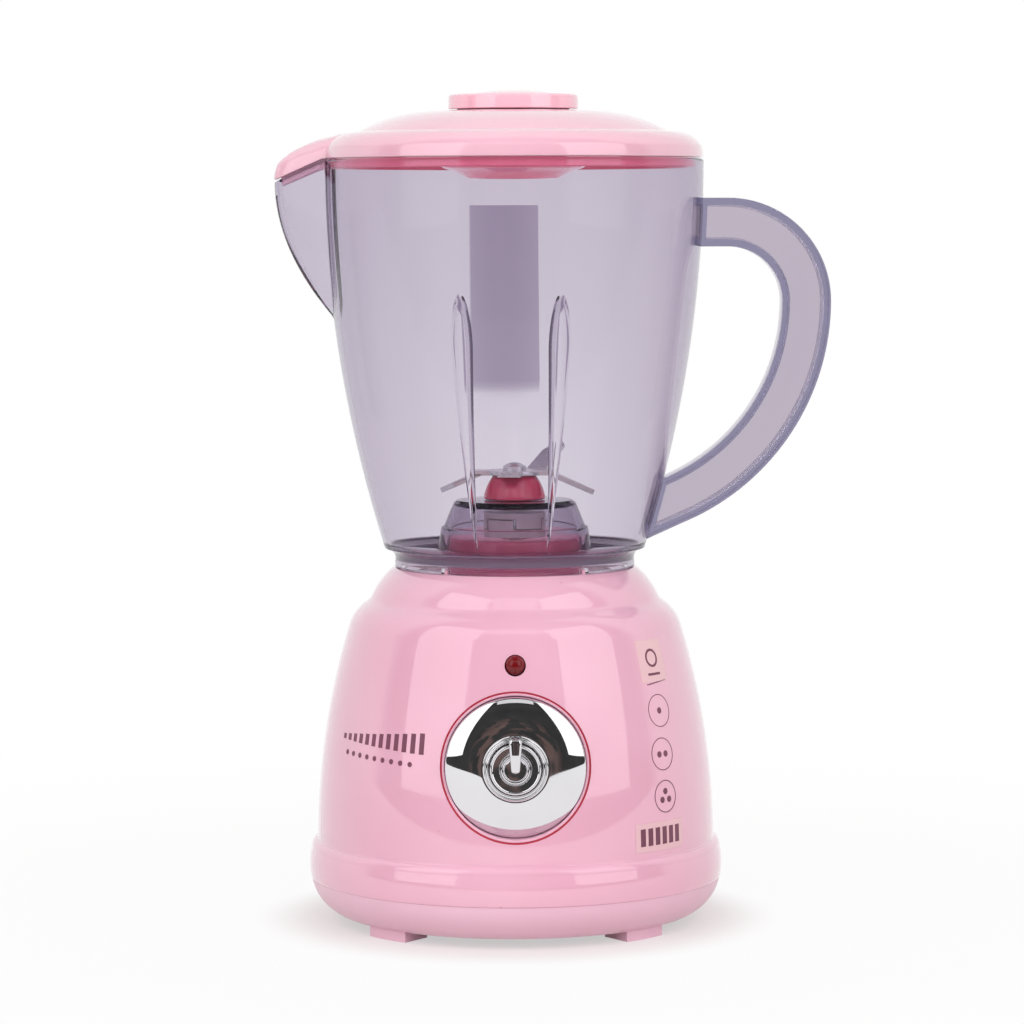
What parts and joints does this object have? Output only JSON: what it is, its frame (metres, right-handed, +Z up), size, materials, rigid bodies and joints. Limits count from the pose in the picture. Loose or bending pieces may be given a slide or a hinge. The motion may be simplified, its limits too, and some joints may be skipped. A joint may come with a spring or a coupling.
{
  "type": "toy blender",
  "caption": "Toy kitchen blender: domed pink battery base with a chromed dial, clear jug with handle, spout and spinning blade, nosed lid and filler cap.",
  "frame": {"origin": "where the drive axis meets the surface the blender stands on", "axes": "+Z up along the drive axis, -Y out of the dial, +X towards the jug's handle, -X towards the spout"},
  "size_m": [0.144, 0.1081, 0.2148],
  "materials": {
    "pink_plastic": "gloss",
    "light_pink_plastic": "gloss",
    "clear_plastic": "clear tinted plastic",
    "chromed_plastic": "mirror plated",
    "red_plastic": "gloss",
    "silver_plastic": "vacuum metallised",
    "zinc_steel": "bright zinc",
    "bright_steel": "polished",
    "white_plastic": "satin",
    "grey_plastic": "satin",
    "black_plastic": "satin",
    "brass": "bright",
    "copper_winding": "enamelled copper",
    "ferrite": "matte",
    "cell_jacket": "plain printed sleeve",
    "red_wire": "matte",
    "black_wire": "matte",
    "white_wire": "matte"
  },
  "bodies": {
    "base": {"upper_housing": "pink_plastic", "bottom_cover": "light_pink_plastic", "housing_screws": "zinc_steel", "dial_disc": "chromed_plastic", "lamp": "red_plastic", "lamp_retainer": "grey_plastic", "lamp_pins": "bright_steel", "lamp_wires": "white_wire", "switch_body": "black_plastic", "switch_terminals": "brass", "switch_screws": "zinc_steel", "gear_plate": "grey_plastic", "gear_plate_screws": "zinc_steel", "lower_bush": "white_plastic", "upper_bush": "white_plastic", "motor_can": "bright_steel", "motor_end_cap": "white_plastic", "motor_magnets": "ferrite", "motor_terminals": "brass", "motor_screws": "zinc_steel", "battery_cell_1": "cell_jacket", "battery_cell_2": "cell_jacket", "spring_contacts": "bright_steel", "button_contacts": "bright_steel", "bridge_contact": "bright_steel", "wire_plus": "red_wire", "wire_minus": "black_wire", "wire_motor": "red_wire"},
    "knob": {"selector_knob": "chromed_plastic", "switch_rotor": "grey_plastic", "knob_screw": "zinc_steel"},
    "spindle": {"spindle_shaft": "bright_steel", "spindle_gear": "white_plastic", "spindle_clip": "zinc_steel", "drive_coupler": "white_plastic"},
    "rotor": {"motor_shaft": "bright_steel", "motor_armature": "copper_winding", "motor_pinion": "white_plastic"},
    "door": {"battery_door": "light_pink_plastic", "door_screw": "zinc_steel"},
    "jug": {"jug_body": "clear_plastic", "jug_handle": "clear_plastic", "jug_bush": "white_plastic"},
    "blade": {"blade_hub": "red_plastic", "blade_cross": "silver_plastic", "blade_nut": "silver_plastic", "blade_shaft": "bright_steel", "driven_coupler": "white_plastic"},
    "lid": {"lid": "pink_plastic"},
    "cap": {"filler_cap": "pink_plastic"}
  },
  "joints": [
    {"name": "knob_turn", "type": "hinge", "parent": "base", "child": "knob", "pos_m": [0, -0.05, 0.046], "axis": [0, 1, 0], "range_deg": [0, 90]},
    {"name": "spindle_spin", "type": "hinge", "parent": "base", "child": "spindle", "pos_m": [0, 0, 0.08], "axis": [0, 0, 1], "continuous": true},
    {"name": "motor_spin", "type": "hinge", "parent": "base", "child": "rotor", "pos_m": [-0.012, 0, 0.05], "axis": [0, 0, 1], "continuous": true},
    {"name": "jug_lift", "type": "slide", "parent": "base", "child": "jug", "axis": [0, 0, 1], "range_m": [0, 0.08]},
    {"name": "blade_spin", "type": "hinge", "parent": "jug", "child": "blade", "pos_m": [0, 0, 0.11], "axis": [0, 0, 1], "continuous": true},
    {"name": "lid_lift", "type": "slide", "parent": "jug", "child": "lid", "axis": [0, 0, 1], "range_m": [0, 0.05]},
    {"name": "cap_lift", "type": "slide", "parent": "lid", "child": "cap", "axis": [0, 0, 1], "range_m": [0, 0.03]},
    {"name": "battery_door_hinge", "type": "hinge", "parent": "base", "child": "door", "pos_m": [-0.03053, 0, 0.0026], "axis": [0, 1, 0], "range_deg": [0, 80]}
  ],
  "couplings": [
    {"joint": "spindle_spin", "follows": "motor_spin", "ratio": -0.33333},
    {"joint": "blade_spin", "follows": "motor_spin", "ratio": -0.33333}
  ]
}
